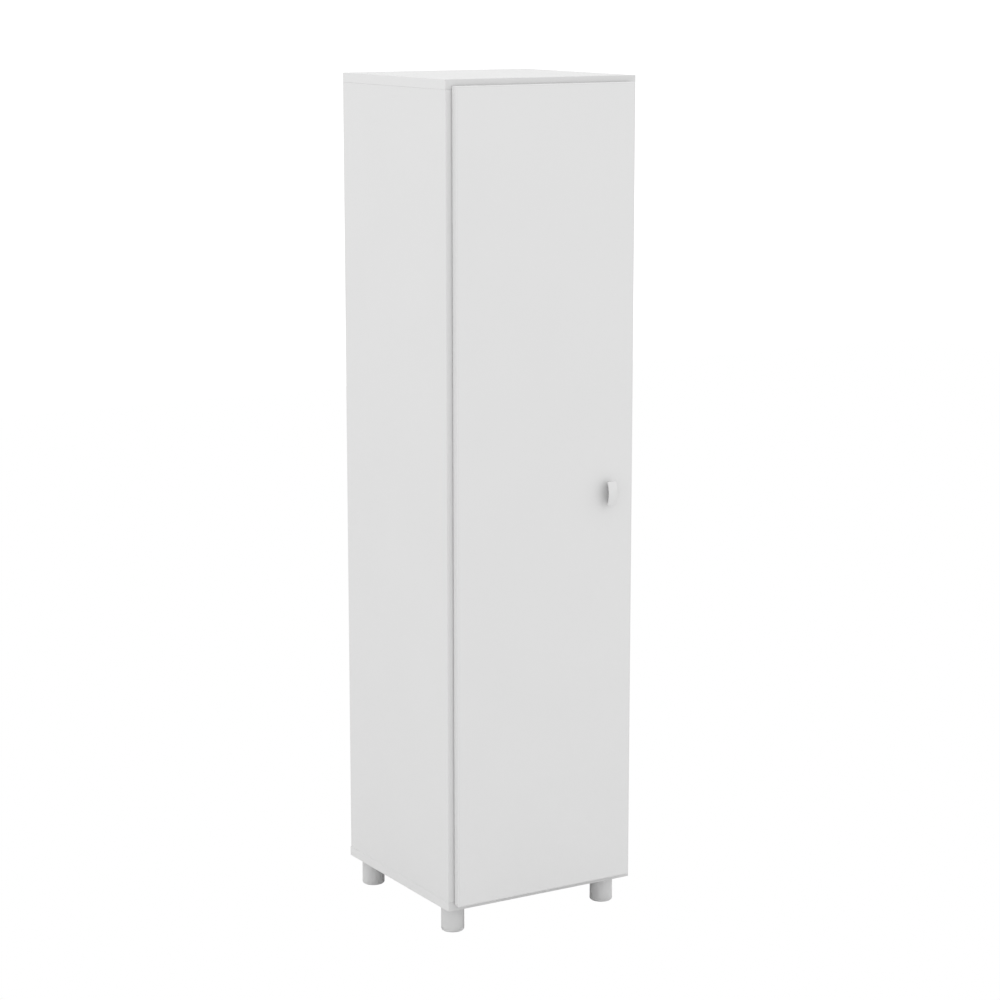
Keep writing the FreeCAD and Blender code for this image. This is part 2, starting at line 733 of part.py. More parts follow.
# ---------------------------------------------------------------- write every node
def main():
    os.makedirs("parts", exist_ok=True)
    save("top_panel", [top_panel()])
    save("bottom_panel", [bottom_panel()])
    save("left_side_panel", [side_panel(x_left, x_inner_left, 1)])
    save("right_side_panel", [side_panel(x_inner_right, x_right, -1)])
    save("back_panel", [back_panel()])
    save("back_panel_nails", back_panel_nails())
    save("cam_locks", cam_locks())
    save("cam_bolts", cam_bolts())
    save("wooden_dowels", wooden_dowels())
    save("upper_shelf", [upper_shelf()])
    save("shelf_pins", shelf_pins())
    for name, (x, y) in leg_places.items():
        save(name + "_leg", [leg(x, y)])
        save(name + "_leg_glide", [leg_glide(x, y)])
    save("leg_studs", leg_studs())
    save("leg_inserts", leg_inserts())
    save("door_panel", [door_panel()])
    save("handle", [handle()])
    save("handle_screws", handle_screws())
    save("door_bumpers", door_bumpers())
    for name, height in hinge_heights.items():
        save(name + "_hinge_cup", [hinge_cup(height)])
        save(name + "_hinge_pin", [hinge_pin(height)])
        save(name + "_hinge_arm", [hinge_arm(height)])
        save(name + "_hinge_plate", [hinge_plate(height)])
    save("hinge_cup_screws", cup_screws())
    save("hinge_plate_screws", plate_screws())
    save("hinge_arm_screws", arm_screws())
    save("wall_bracket", [wall_bracket()])
    save("wall_bracket_screws", wall_bracket_screws())


main()
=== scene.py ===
# %% [markdown]
# # Dressing a white broom cupboard
#
# This lesson takes a cupboard that was measured and joined in a CAD program and gives it the
# surfaces that it has in a bright showroom. The boards, hinges and fixings arrive as plain
# meshes, already in the right place and in metres. Here each of them gets its finish, and the
# pieces whose form is softer than the CAD model's are made again: the turned legs, the handle,
# the screws and the soft bumpers. The first step loads the meshes and notes the outer box,
# because nothing that is added later may stand outside it.

# %% Load the measured cupboard
import math

import bmesh
import bpy
from mathutils import Matrix, Vector


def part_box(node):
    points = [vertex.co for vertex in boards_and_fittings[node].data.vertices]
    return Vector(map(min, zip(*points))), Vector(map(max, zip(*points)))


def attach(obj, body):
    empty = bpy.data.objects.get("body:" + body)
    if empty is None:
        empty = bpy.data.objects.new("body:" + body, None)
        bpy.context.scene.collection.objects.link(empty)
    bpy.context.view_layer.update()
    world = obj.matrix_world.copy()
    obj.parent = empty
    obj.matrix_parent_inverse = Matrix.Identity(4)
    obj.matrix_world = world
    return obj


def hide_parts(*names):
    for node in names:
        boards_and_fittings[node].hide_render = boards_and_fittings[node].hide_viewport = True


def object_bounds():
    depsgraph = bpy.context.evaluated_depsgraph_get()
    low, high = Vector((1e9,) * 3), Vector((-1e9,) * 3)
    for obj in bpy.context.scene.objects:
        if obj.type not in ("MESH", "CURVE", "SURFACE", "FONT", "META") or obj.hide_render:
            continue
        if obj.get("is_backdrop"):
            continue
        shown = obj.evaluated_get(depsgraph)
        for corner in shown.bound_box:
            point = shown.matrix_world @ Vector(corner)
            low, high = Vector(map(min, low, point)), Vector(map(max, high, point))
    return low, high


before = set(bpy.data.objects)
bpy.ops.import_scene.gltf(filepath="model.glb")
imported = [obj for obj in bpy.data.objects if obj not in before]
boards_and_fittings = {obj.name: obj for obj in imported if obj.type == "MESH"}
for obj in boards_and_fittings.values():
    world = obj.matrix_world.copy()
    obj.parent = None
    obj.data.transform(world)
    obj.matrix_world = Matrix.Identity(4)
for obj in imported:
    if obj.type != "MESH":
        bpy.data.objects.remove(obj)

cad_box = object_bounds()
MM = 0.001
outer = (cad_box[1] - cad_box[0]) / MM
print(f"{len(boards_and_fittings)} pieces, {outer.x:.0f} x {outer.y:.0f} x {outer.z:.0f} mm")

# %% [markdown]
# ## The camera
#
# A tall, narrow cupboard is best shown from one corner, a little above its middle, so that the
# door, one side and a sliver of the top can be seen together. A long lens far away keeps the
# uprights nearly parallel. The camera could be aimed with a constraint, but a fixed place and
# turn are easier to repeat. Its distance is counted from the front edges of the side panels, so
# that a change to the handle doesn't move the picture.

# %% Camera
front_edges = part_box("left_side_panel")[0].y
camera_stand = Vector((-2.5976, front_edges - 4.18115, 1.7714))
look_down, look_right = 11.02, 30.966
lens_length = 98.013

camera = bpy.data.objects.new("camera", bpy.data.cameras.new("camera"))
bpy.context.scene.collection.objects.link(camera)
camera.data.lens = lens_length
camera.location = camera_stand
camera.rotation_euler = (math.radians(90 - look_down), 0, math.radians(-look_right))
bpy.context.scene.camera = camera
cupboard_middle = (cad_box[0] + cad_box[1]) / 2
print(f"lens {lens_length:.0f} mm, {(camera_stand - cupboard_middle).length:.2f} m away")

# %% [markdown]
# ## Light and floor
#
# White furniture is shown in a light tent: soft light from everywhere, no hard shadow, and a
# background that burns out to pure white. A sky of one even white does this in a single step.
# Area lights could do it too, but each of them would leave its own streak on the glossy faces.
# The floor sends light back up like pale lino, so the underside of the cupboard isn't black,
# and the camera sees it as plain white, without a horizon. It reaches only some metres round the
# cupboard, as a roll of studio paper does; past it the tent begins again, which is why the faces
# grow a little lighter towards the top.

# %% Soft white studio
tent_strength = 1.165
floor_bounce = 0.77
floor_reach = 6.0

tent = bpy.data.worlds.new("light tent")
tent.use_nodes = True
tent.node_tree.nodes["Background"].inputs["Color"].default_value = (1, 1, 1, 1)
tent.node_tree.nodes["Background"].inputs["Strength"].default_value = tent_strength
bpy.context.scene.world = tent
bpy.context.scene.view_settings.view_transform = "Standard"

floor_mesh = bpy.data.meshes.new("studio_floor")
floor_corners = [(x * floor_reach, y * floor_reach, 0) for x, y in
                 ((-1, -1), (1, -1), (1, 1), (-1, 1))]
floor_mesh.from_pydata(floor_corners, [], [(0, 1, 2, 3)])
floor = bpy.data.objects.new("studio_floor", floor_mesh)
bpy.context.scene.collection.objects.link(floor)
floor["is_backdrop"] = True

floor_finish = bpy.data.materials.new("white paper floor")
floor_finish.use_nodes = True
floor_nodes, floor_links = floor_finish.node_tree.nodes, floor_finish.node_tree.links
floor_nodes.clear()
paper = floor_nodes.new("ShaderNodeBsdfDiffuse")
paper.inputs["Color"].default_value = (floor_bounce, floor_bounce, floor_bounce, 1)
burnt_out = floor_nodes.new("ShaderNodeEmission")
seen = floor_nodes.new("ShaderNodeLightPath")
chooser = floor_nodes.new("ShaderNodeMixShader")
floor_out = floor_nodes.new("ShaderNodeOutputMaterial")
floor_links.new(seen.outputs["Is Camera Ray"], chooser.inputs[0])
floor_links.new(paper.outputs[0], chooser.inputs[1])
floor_links.new(burnt_out.outputs[0], chooser.inputs[2])
floor_links.new(chooser.outputs[0], floor_out.inputs[0])
floor_mesh.materials.append(floor_finish)
print(f"tent {tent_strength}, floor sends back {floor_bounce:.0%}")

# %% [markdown]
# ## Two small tools for finishes
#
# Every finish below is a short chain of shader nodes, so the chain gets a helper: it adds one
# node, and takes for each input either a plain value or the output of an earlier node. The
# second tool puts finishes on a piece. It clears what the mesh came with, because the loaded
# meshes carry a plain grey.

# %% Helpers for finishes
def start_finish(name, roughness=0.5, metal=0.0, shine=0.5):
    finish = bpy.data.materials.new(name)
    finish.use_nodes = True
    shader = finish.node_tree.nodes["Principled BSDF"]
    shader.inputs["Roughness"].default_value = roughness
    shader.inputs["Metallic"].default_value = metal
    shader.inputs["Specular IOR Level"].default_value = shine
    return finish, shader


def step(finish, kind, inputs=None, **settings):
    """Add a node; each input is a plain value or the output of an earlier node."""
    tree = finish.node_tree
    made = tree.nodes.new(kind)
    for name, value in settings.items():
        setattr(made, name, value)
    for socket, value in (inputs or {}).items():
        if isinstance(value, bpy.types.NodeSocket):
            tree.links.new(value, made.inputs[socket])
        else:
            made.inputs[socket].default_value = value
    return made


def feed(finish, output, shader, socket):
    finish.node_tree.links.new(output, shader.inputs[socket])


def grey(level):
    return (level, level, level, 1.0)


def wear(piece, *finishes):
    piece.data.materials.clear()
    for finish in finishes:
        piece.data.materials.append(finish)


print("tools for finishes: start_finish, step, feed, grey, wear")

# %% [markdown]
# ## Parts that every finish shares
#
# Real surfaces are never quite even. Three effects are used again and again: a colour that
# drifts a little, a roughness that does the same, and a very shallow relief. All of them come
# from noise in object coordinates, which are millimetres on the piece, so that the grain has
# its true size and moves with the door. Image textures would need unwrapping and can blur;
# noise is sharp at any distance.

# %% Grain, drift and relief
NOISE_LOW, NOISE_HIGH = 0.3, 0.7
BLEND, FIRST_COLOUR, SECOND_COLOUR, BLENDED = 0, 6, 7, 2


def noise(finish, grain_size, detail=2.0, stretch=(1, 1, 1)):
    """Noise whose blobs are about grain_size across, drawn out along an axis by stretch."""
    place = step(finish, "ShaderNodeTexCoord").outputs["Object"]
    scale = [1 / (grain_size * along) for along in stretch]
    spread = step(finish, "ShaderNodeVectorMath", {0: place, 1: scale}, operation="MULTIPLY")
    return step(finish, "ShaderNodeTexNoise",
                {"Vector": spread.outputs[0], "Scale": 1.0, "Detail": detail}).outputs["Fac"]


def between(finish, amount, low, high):
    """Noise stays near its middle, so its middle part is spread from low to high."""
    return step(finish, "ShaderNodeMapRange",
                {"Value": amount, "From Min": NOISE_LOW, "From Max": NOISE_HIGH,
                 "To Min": low, "To Max": high}).outputs[0]


def blend_colours(finish, amount, first, second):
    """The Mix node has sockets for every kind of value; these numbers pick the colour ones."""
    return step(finish, "ShaderNodeMix",
                {BLEND: amount, FIRST_COLOUR: first, SECOND_COLOUR: second},
                data_type="RGBA").outputs[BLENDED]


def relief(finish, shader, height, depth, strength=1.0):
    bump = step(finish, "ShaderNodeBump",
                {"Height": height, "Distance": depth, "Strength": strength})
    feed(finish, bump.outputs[0], shader, "Normal")


print(f"noise is spread from {NOISE_LOW} to {NOISE_HIGH}, where most of it lies")

# %% [markdown]
# ## White melamine board
#
# The cupboard is made of chipboard with white paper pressed on in resin. The press plate leaves
# a fine pearl in the surface, which takes the hard shine off it. The sawn edges are covered by
# glued plastic bands, a touch glossier than the faces, and between face and band runs a
# hairline of glue. The bands on the fronts of the level boards are painted a shade greyer, as
# painted shade for the narrow strips above and below the door, and the paper of the top is
# painted a shade darker, as painted shade for the weaker light from above. Modelling the bands
# as solids would give slivers, so the shader draws them: for each banded edge it works out how
# far a point lies inside the band. What is above zero is band, and where the greatest of these
# is nearly zero the glue line runs.

# %% Melamine with its edge bands
# The top's paper and the front bands are painted darker than the white: painted shade for the
# weaker light from above and for the narrow strips beside the door.
WHITE, TOP_PAPER_PAINTED_SHADE, FRONT_BAND_PAINTED_SHADE, GLUE_GREY = 0.70, 0.66, 0.64, 0.52
SIDE_BAND, DOOR_BAND = WHITE - 0.01, WHITE - 0.005
PEARL_GRAIN, PAPER_DRIFT, PEARL_RELIEF = 0.9 * MM, 160 * MM, 0.025 * MM
PEARL_SHADE, DRIFT_SHADE = 0.012, 0.004
SATIN_LOW, SATIN_HIGH, BAND_SHINE = 0.40, 0.50, 0.07
GLUE_LINE = 0.12 * MM


def melamine(node, bands, band, paper_white=WHITE):
    """White board; bands lists the banded edges as (axis, side, white), side being -1 or 1."""
    low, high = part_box(node)
    finish, shader = start_finish("white melamine of " + node.replace("_", " "), shine=0.25)
    pearl = noise(finish, PEARL_GRAIN, detail=3.0)
    drift = noise(finish, PAPER_DRIFT, detail=1.0)
    place = step(finish, "ShaderNodeTexCoord").outputs["Object"]
    split = step(finish, "ShaderNodeSeparateXYZ", {0: place})
    paper = blend_colours(finish, between(finish, drift, 0.0, 1.0),
                          grey(paper_white - DRIFT_SHADE), grey(paper_white + DRIFT_SHADE))
    surface = blend_colours(finish, between(finish, pearl, 0.0, 0.5), paper,
                            grey(paper_white - PEARL_SHADE))
    reach = None
    for axis, side, white in bands:
        edge = (high if side > 0 else low)["XYZ".index(axis)]
        inside = step(finish, "ShaderNodeMath",
                      {0: split.outputs[axis], 1: side, 2: band - side * edge},
                      operation="MULTIPLY_ADD").outputs[0]
        on_band = step(finish, "ShaderNodeMath", {0: inside, 1: 0.0}, operation="GREATER_THAN")
        surface = blend_colours(finish, on_band.outputs[0], surface, grey(white))
        reach = inside if reach is None else step(
            finish, "ShaderNodeMath", {0: reach, 1: inside}, operation="MAXIMUM").outputs[0]
    banded = step(finish, "ShaderNodeMath", {0: reach, 1: 0.0},
                  operation="GREATER_THAN").outputs[0]
    glue = step(finish, "ShaderNodeMath", {0: reach, 1: 0.0, 2: GLUE_LINE},
                operation="COMPARE").outputs[0]
    feed(finish, blend_colours(finish, glue, surface, grey(GLUE_GREY)), shader, "Base Color")
    satin = between(finish, pearl, SATIN_LOW, SATIN_HIGH)
    feed(finish, step(finish, "ShaderNodeMath", {0: banded, 1: -BAND_SHINE, 2: satin},
                      operation="MULTIPLY_ADD").outputs[0], shader, "Roughness")
    relief(finish, shader, pearl, PEARL_RELIEF)
    return finish


print(f"paper {WHITE:.2f} white, front bands {FRONT_BAND_PAINTED_SHADE:.2f}, "
      f"glue line {GLUE_LINE / MM:.2f} mm")

# %% [markdown]
# ## Raw chipboard
#
# Where a board is drilled, or where an edge never shows, there is no paper and no band, and the
# pressed flakes are bare. Cells of the Voronoi texture look like flakes when each one takes its
# own colour. The faces of the mesh that need it are found by where they lie: deeper in the board
# than any outside face, or square to an edge that has no band.

# %% Chipboard
FLAKES_PER_METRE = 450.0
DARK_FLAKE, PALE_FLAKE = (0.27, 0.17, 0.09, 1), (0.62, 0.46, 0.29, 1)


def chipboard():
    finish, shader = start_finish("raw chipboard", roughness=0.9, shine=0.1)
    place = step(finish, "ShaderNodeTexCoord").outputs["Object"]
    flakes = step(finish, "ShaderNodeTexVoronoi",
                  {"Vector": place, "Scale": FLAKES_PER_METRE, "Randomness": 1.0})
    tone = step(finish, "ShaderNodeSeparateColor", {0: flakes.outputs["Color"]}).outputs[0]
    ramp = step(finish, "ShaderNodeValToRGB", {0: tone})
    ramp.color_ramp.elements[0].color = DARK_FLAKE
    ramp.color_ramp.elements[1].color = PALE_FLAKE
    feed(finish, ramp.outputs[0], shader, "Base Color")
    relief(finish, shader, flakes.outputs["Distance"], 0.3 * MM, strength=0.6)
    return finish


bare_chipboard = chipboard()
print(f"{bare_chipboard.name}: flakes about {1000 / FLAKES_PER_METRE:.1f} mm across")

# %% Boards with their bands and bare places
SQUARE_TO = 0.99


def show_core(node, raw_edges, skin=0.7 * MM):
    """Give slot 1, the raw core, to hole walls and to the edges that have no band."""
    low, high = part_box(node)
    mesh, count = boards_and_fittings[node].data, 0
    for face in mesh.polygons:
        depth = min(min(face.center[i] - low[i], high[i] - face.center[i]) for i in range(3))
        raw = depth > skin or any(
            face.normal["XYZ".index(axis)] * side > SQUARE_TO for axis, side in raw_edges)
        face.material_index = 1 if raw else 0
        count += raw
    return count


thin_band, thick_band = 0.8 * MM, 2.0 * MM
side_front, level_front = ("Y", -1, SIDE_BAND), ("Y", -1, FRONT_BAND_PAINTED_SHADE)
both_ends = [("X", -1, WHITE), ("X", 1, WHITE)]
all_round = [(axis, side, DOOR_BAND) for axis in "XZ" for side in (-1, 1)]
side_raw = [("Y", 1), ("Z", -1), ("Z", 1)]
# The top panel takes its paper painted darker as shade, and the level boards take their front
# bands painted greyer as shade.
board_edges = {
    "top_panel": (both_ends + [level_front], [("Y", 1)], thin_band, TOP_PAPER_PAINTED_SHADE),
    "bottom_panel": (both_ends + [level_front], [("Y", 1)], thin_band, WHITE),
    "left_side_panel": ([side_front], side_raw, thin_band, WHITE),
    "right_side_panel": ([side_front], side_raw, thin_band, WHITE),
    "upper_shelf": ([level_front], [("X", -1), ("X", 1), ("Y", 1)], thin_band, WHITE),
    "door_panel": (all_round, [], thick_band, WHITE),
}
for node, (bands, raw_edges, band, paper_white) in board_edges.items():
    finish = melamine(node, bands, band, paper_white)
    wear(boards_and_fittings[node], finish, bare_chipboard)
    print(node, "bands", len(bands), "raw faces", show_core(node, raw_edges))

# %% [markdown]
# ## The hardboard back
#
# The back is a 3 mm sheet of hardboard. Its inside is lacquered white to match the boards; its
# outside, which stands to the wall, is left brown and shows the weave of the screen that it was
# pressed on. The weave is two sets of waves that cross, and finer than a millimetre and a half,
# so it is drawn as relief and not as geometry.

# %% Two finishes of hardboard
SCREEN_PITCH = 1.4 * MM
WAVES = 0.314                    # divided by the pitch, it gives the Wave node's scale
LACQUER_LOW, LACQUER_HIGH = 0.672, 0.68
DARK_FIBRE, PALE_FIBRE = (0.19, 0.115, 0.063, 1), (0.35, 0.225, 0.135, 1)
PALE_CLOUD = (0.40, 0.27, 0.17, 1)


def lacquered_hardboard():
    finish, shader = start_finish("white lacquered hardboard", shine=0.3)
    drift = noise(finish, 60 * MM)
    orange_peel = noise(finish, 1.6 * MM)
    feed(finish, blend_colours(finish, between(finish, drift, 0.0, 1.0),
                               grey(LACQUER_LOW), grey(LACQUER_HIGH)), shader, "Base Color")
    feed(finish, between(finish, orange_peel, 0.42, 0.56), shader, "Roughness")
    relief(finish, shader, orange_peel, 0.02 * MM)
    return finish


def screened_hardboard():
    finish, shader = start_finish("brown hardboard", shine=0.2)
    fibres = noise(finish, 2.2 * MM, detail=6.0)
    clouds = noise(finish, 45 * MM, detail=4.0)
    brown = blend_colours(finish, between(finish, fibres, 0.0, 1.0), DARK_FIBRE, PALE_FIBRE)
    feed(finish, blend_colours(finish, between(finish, clouds, 0.0, 0.22), brown, PALE_CLOUD),
         shader, "Base Color")
    feed(finish, between(finish, fibres, 0.62, 0.80), shader, "Roughness")
    place = step(finish, "ShaderNodeTexCoord").outputs["Object"]
    weave = [step(finish, "ShaderNodeTexWave",
                  {"Vector": place, "Scale": WAVES / SCREEN_PITCH, "Distortion": 0.6},
                  bands_direction=axis).outputs["Fac"] for axis in ("X", "Z")]
    crossed = step(finish, "ShaderNodeMath", {0: weave[0], 1: weave[1]}, operation="MULTIPLY")
    relief(finish, shader, crossed.outputs[0], 0.15 * MM, strength=0.7)
    return finish


print(f"screen pitch {SCREEN_PITCH / MM:.1f} mm on the brown side")

# %% The back, white inside and brown outside
FACING = 0.7
back = boards_and_fittings["back_panel"]
wear(back, screened_hardboard(), lacquered_hardboard())
for face in back.data.polygons:
    face.material_index = 1 if face.normal.y < -FACING else 0
back_low, back_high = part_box("back_panel")
print(f"back {(back_high.y - back_low.y) / MM:.1f} mm thick, white faces",
      sum(face.material_index for face in back.data.polygons))

# %% [markdown]
# ## Metals and wood inside
#
# Open the door and the fittings show. Hinges, screws and the wall bracket are pressed from
# steel and plated, bright but not mirror smooth, with faint lines from the rolling mill. The
# cams are cast zinc, darker and grainy. The dowels are ribbed beech. Metal has no colour of its
# own under the shine, so it is told apart by how rough it is and how its fine lines run; long
# thin noise gives those lines.

# %% Plated steel, cast zinc, beech
SHADED = 0.86                    # brightness of a plated colour's darker clouds
DARK_ZINC, PALE_ZINC = (0.40, 0.41, 0.43, 1), (0.56, 0.57, 0.59, 1)
DARK_BEECH, PALE_BEECH = (0.62, 0.42, 0.24, 1), (0.78, 0.60, 0.40, 1)


def plated(name, colour, smooth, rough, stretch=(1, 1, 12)):
    finish, shader = start_finish(name, metal=1.0)
    lines = noise(finish, 0.25 * MM, detail=3.0, stretch=stretch)
    clouds = noise(finish, 9 * MM)
    darker = tuple(SHADED * part for part in colour)
    feed(finish, blend_colours(finish, between(finish, clouds, 0.0, 1.0),
                               (*darker, 1), (*colour, 1)), shader, "Base Color")
    feed(finish, between(finish, lines, smooth, rough), shader, "Roughness")
    relief(finish, shader, lines, 0.004 * MM)
    return finish


def cast_zinc():
    finish, shader = start_finish("cast zinc", metal=1.0)
    grains = noise(finish, 0.5 * MM, detail=4.0)
    feed(finish, blend_colours(finish, between(finish, grains, 0.0, 1.0), DARK_ZINC, PALE_ZINC),
         shader, "Base Color")
    feed(finish, between(finish, grains, 0.42, 0.62), shader, "Roughness")
    relief(finish, shader, grains, 0.05 * MM, strength=0.7)
    return finish


def beech():
    finish, shader = start_finish("beech", shine=0.3)
    grain = noise(finish, 0.6 * MM, detail=4.0, stretch=(1, 1, 18))
    feed(finish, blend_colours(finish, between(finish, grain, 0.0, 1.0), DARK_BEECH, PALE_BEECH),
         shader, "Base Color")
    feed(finish, between(finish, grain, 0.55, 0.75), shader, "Roughness")
    relief(finish, shader, grain, 0.05 * MM)
    return finish


nickel = plated("nickel plated steel", (0.70, 0.68, 0.65), 0.20, 0.34)
bright_zinc = plated("zinc plated steel", (0.62, 0.63, 0.65), 0.28, 0.44)
bare_wire = plated("bright steel", (0.58, 0.57, 0.56), 0.30, 0.48, stretch=(1, 8, 1))
grainy_zinc, beech_wood = cast_zinc(), beech()
print("metals:", ", ".join(metal.name for metal in (nickel, bright_zinc, bare_wire, grainy_zinc)))

# %% Dress the fittings
fitting_finishes = {
    nickel: ["_hinge_cup", "_hinge_arm", "_hinge_plate", "_hinge_pin", "shelf_pins"],
    bright_zinc: ["cam_bolts", "leg_studs", "leg_inserts", "wall_bracket"],
    bare_wire: ["back_panel_nails"],
    grainy_zinc: ["cam_locks"],
    beech_wood: ["wooden_dowels"],
}
for finish, endings in fitting_finishes.items():
    chosen = [node for node in boards_and_fittings if node.endswith(tuple(endings))]
    for node in chosen:
        wear(boards_and_fittings[node], finish)
    print(finish.name, "on", ", ".join(chosen))

# %% [markdown]
# ## Moulded plastic
#
# Legs, glides and handle are injection moulded in white plastic. The mould is spark eroded, so
# the surface has a fine even grain and a satin shine, a little softer than the melamine beside
# it. The handle's show side is white; the side that faces the door comes rough from the mould's
# core and is painted grey, as painted shade for the dark inside the hook. The bumpers are clear
# soft dots that light passes through.

# %% White and clear plastic
# The grey for the handle's inner side is painted shade for the dark inside the hook, not a colour
# of the plastic.
LEG_WHITE, HANDLE_WHITE, CORE_PAINTED_SHADE, PLASTIC_SHADE = 0.635, 0.68, 0.38, 0.008
FINE_GRAIN, COARSE_GRAIN = 0.35 * MM, 0.6 * MM


def moulded_white(name, level, grain_size=FINE_GRAIN):
    finish, shader = start_finish(name, shine=0.35)
    grain = noise(finish, grain_size, detail=2.0)
    drift = noise(finish, 14 * MM)
    feed(finish, blend_colours(finish, between(finish, drift, 0.0, 1.0),
                               grey(level - PLASTIC_SHADE), grey(level + PLASTIC_SHADE)),
         shader, "Base Color")
    feed(finish, between(finish, grain, 0.38, 0.52), shader, "Roughness")
    relief(finish, shader, grain, 0.02 * MM, strength=0.8)
    return finish


def clear_soft():
    finish, shader = start_finish("clear soft plastic", roughness=0.2)
    shader.inputs["Transmission Weight"].default_value = 0.85
    cloud = noise(finish, 1.5 * MM)
    feed(finish, blend_colours(finish, between(finish, cloud, 0.0, 1.0),
                               grey(0.90), grey(0.97)), shader, "Base Color")
    return finish


leg_plastic = moulded_white("white moulded plastic of the legs", LEG_WHITE)
handle_plastic = moulded_white("white moulded plastic of the handle", HANDLE_WHITE)
handle_inside_painted_shade = moulded_white("rough inner side of the handle, painted grey as shade", CORE_PAINTED_SHADE, COARSE_GRAIN)
soft_dot = clear_soft()
print("plastics:", leg_plastic.name, "/", handle_plastic.name, "/", soft_dot.name)

# %% [markdown]
# ## Placing made pieces
#
# A made piece has to do three things: take the place of the plain CAD piece, move with the body
# that carries it, and wear its finish. One helper does all three, and smooths the shading across
# every edge that is softer than a given angle. Round pieces come from a second helper, a lathe:
# it makes a ring of points from each corner of an outline, or a single point on the axis, and
# joins each ring to the next. Blender can spin an outline by itself, but then the faces come in
# another order every time that the script runs.

# %% Helper for made pieces
def place_piece(name, shape, finish, stands_for, body, sharp=35, location=(0, 0, 0)):
    mesh = bpy.data.meshes.new(name)
    shape.to_mesh(mesh)
    shape.free()
    mesh.shade_smooth()
    mesh.set_sharp_from_angle(angle=math.radians(sharp))
    piece = bpy.data.objects.new(name, mesh)
    bpy.context.scene.collection.objects.link(piece)
    piece.location = location
    wear(piece, finish)
    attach(piece, body)
    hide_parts(stands_for)
    return piece


print("a made piece rides on a body and replaces its plain piece: place_piece")


# %% A lathe for round pieces
def turned(outline, turns=96):
    """A closed lathe shape from (radius, height) pairs that start and end on the axis."""
    shape, rings = bmesh.new(), []
    angles = [math.tau * i / turns for i in range(turns)]
    for radius, height in outline:
        if radius == 0:
            rings.append([shape.verts.new((0, 0, height))] * turns)
        else:
            rings.append([shape.verts.new((radius * math.cos(a), radius * math.sin(a), height))
                          for a in angles])
    for one, other in zip(rings, rings[1:]):
        for i in range(turns):
            j = (i + 1) % turns
            # A face at the axis is a triangle, so its doubled point is named only once.
            corners = dict.fromkeys((one[i], one[j], other[j], other[i]))
            shape.faces.new(list(corners))
    bmesh.ops.recalc_face_normals(shape, faces=shape.faces)
    return shape


def rounded_corner(centre, radius, start, end, steps=6):
    """Points of an arc in an outline, from one angle to another in degrees."""
    return [(centre[0] + radius * math.cos(math.radians(start + (end - start) * i / steps)),
             centre[1] + radius * math.sin(math.radians(start + (end - start) * i / steps)))
            for i in range(steps + 1)]


print("a quarter round of radius 1 passes", len(rounded_corner((0, 0), 1, 0, 90)), "points")

# %% [markdown]
# ## The legs
#
# Each leg is a short plastic tube, a hair wider at the foot so that it leaves its mould, with a
# solid head that takes a steel stud. The outline could be cut from a cylinder by booleans, but
# a lathe is how a round piece is thought of, and it lets the corners be rounded as the outline
# is drawn. The head of the leg meets the bottom panel with a small rounding, which is the thin
# shadow that parts the two.

# %% Turned legs
leg_low, leg_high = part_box("front_left_leg")
glide_low, glide_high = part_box("front_left_leg_glide")
leg_foot = leg_low.z
foot_radius = (leg_high.x - leg_low.x) / 2
mould_taper = 0.177 * MM
head_radius = foot_radius - mould_taper
leg_wall, leg_head, stud_hole, stud_depth = 3 * MM, 12 * MM, 4.05 * MM, 10.3 * MM
mouth = (glide_high.x - glide_low.x) / 2 - leg_wall
top_round, foot_round = 0.6 * MM, 0.3 * MM
hollow_top = leg_high.z - leg_head

leg_outline = [(0, hollow_top), (mouth, hollow_top), (mouth, leg_foot)]
leg_outline += rounded_corner((foot_radius - foot_round, leg_foot + foot_round),
                              foot_round, -90, 0)
leg_outline += rounded_corner((head_radius - top_round, leg_high.z - top_round),
                              top_round, 0, 90)
leg_outline += [(stud_hole, leg_high.z), (stud_hole, leg_high.z - stud_depth),
                (0, leg_high.z - stud_depth)]
corners_of_leg = ("front_left", "front_right", "rear_left", "rear_right")
leg_places = {}
for corner in corners_of_leg:
    low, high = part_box(corner + "_leg")
    leg_places[corner] = ((low.x + high.x) / 2, (low.y + high.y) / 2, 0)
    place_piece(corner + "_turned_leg", turned(leg_outline), leg_plastic,
                corner + "_leg", "carcass", location=leg_places[corner])
print(f"legs {2 * foot_radius / MM:.1f} mm across the foot, {leg_high.z / MM:.0f} mm high")

# %% [markdown]
# ## The glides
#
# Under each leg sits a glide, a plastic disc with a soft lower rim that slides over the floor
# without marking it. A hairline groove shows where it is pushed into the leg. The rim is a wide
# arc of the outline, which gives the foot its soft look, with enough steps to stay round in a
# close view.

# %% Glides with a soft rim
glide_radius = (glide_high.x - glide_low.x) / 2
rim_round, groove, rim_steps = 4.0 * MM, 0.5 * MM, 16
plug_play = 0.05 * MM
plug_radius = mouth - plug_play
plug_core = plug_radius - leg_wall

glide_outline = [(0, 0)]
glide_outline += rounded_corner((glide_radius - rim_round, rim_round), rim_round, -90, 0,
                                rim_steps)
glide_outline += [(glide_radius, leg_foot - groove), (glide_radius - groove, leg_foot - groove),
                  (glide_radius - groove, leg_foot), (plug_radius, leg_foot),
                  (plug_radius, glide_high.z), (plug_core, glide_high.z),
                  (plug_core, leg_foot), (0, leg_foot)]
for corner in corners_of_leg:
    place_piece(corner + "_soft_rim_glide", turned(glide_outline), leg_plastic,
                corner + "_leg_glide", "carcass", location=leg_places[corner])
print(f"glides {2 * glide_radius / MM:.1f} mm across, {leg_foot / MM:.0f} mm high")

# %% [markdown]
# ## The handle
#
# The handle is a small bowed strap, open to the left so that two fingertips fit behind it, and
# solid on its right side, where two screws reach it through the door. It could be bent from a
# flat bar with a curve modifier, but its front is bowed and its back is flat on the door, so a
# stack of cross-sections is simpler: each section has the strap's outline, its front moved with
# the bow, and the middle ones also reach back to the door. The solid side stops short of both
# ends of the strap, so that a dark line of shadow runs behind them. The moulded corners come
# from a bevel on the finished form.

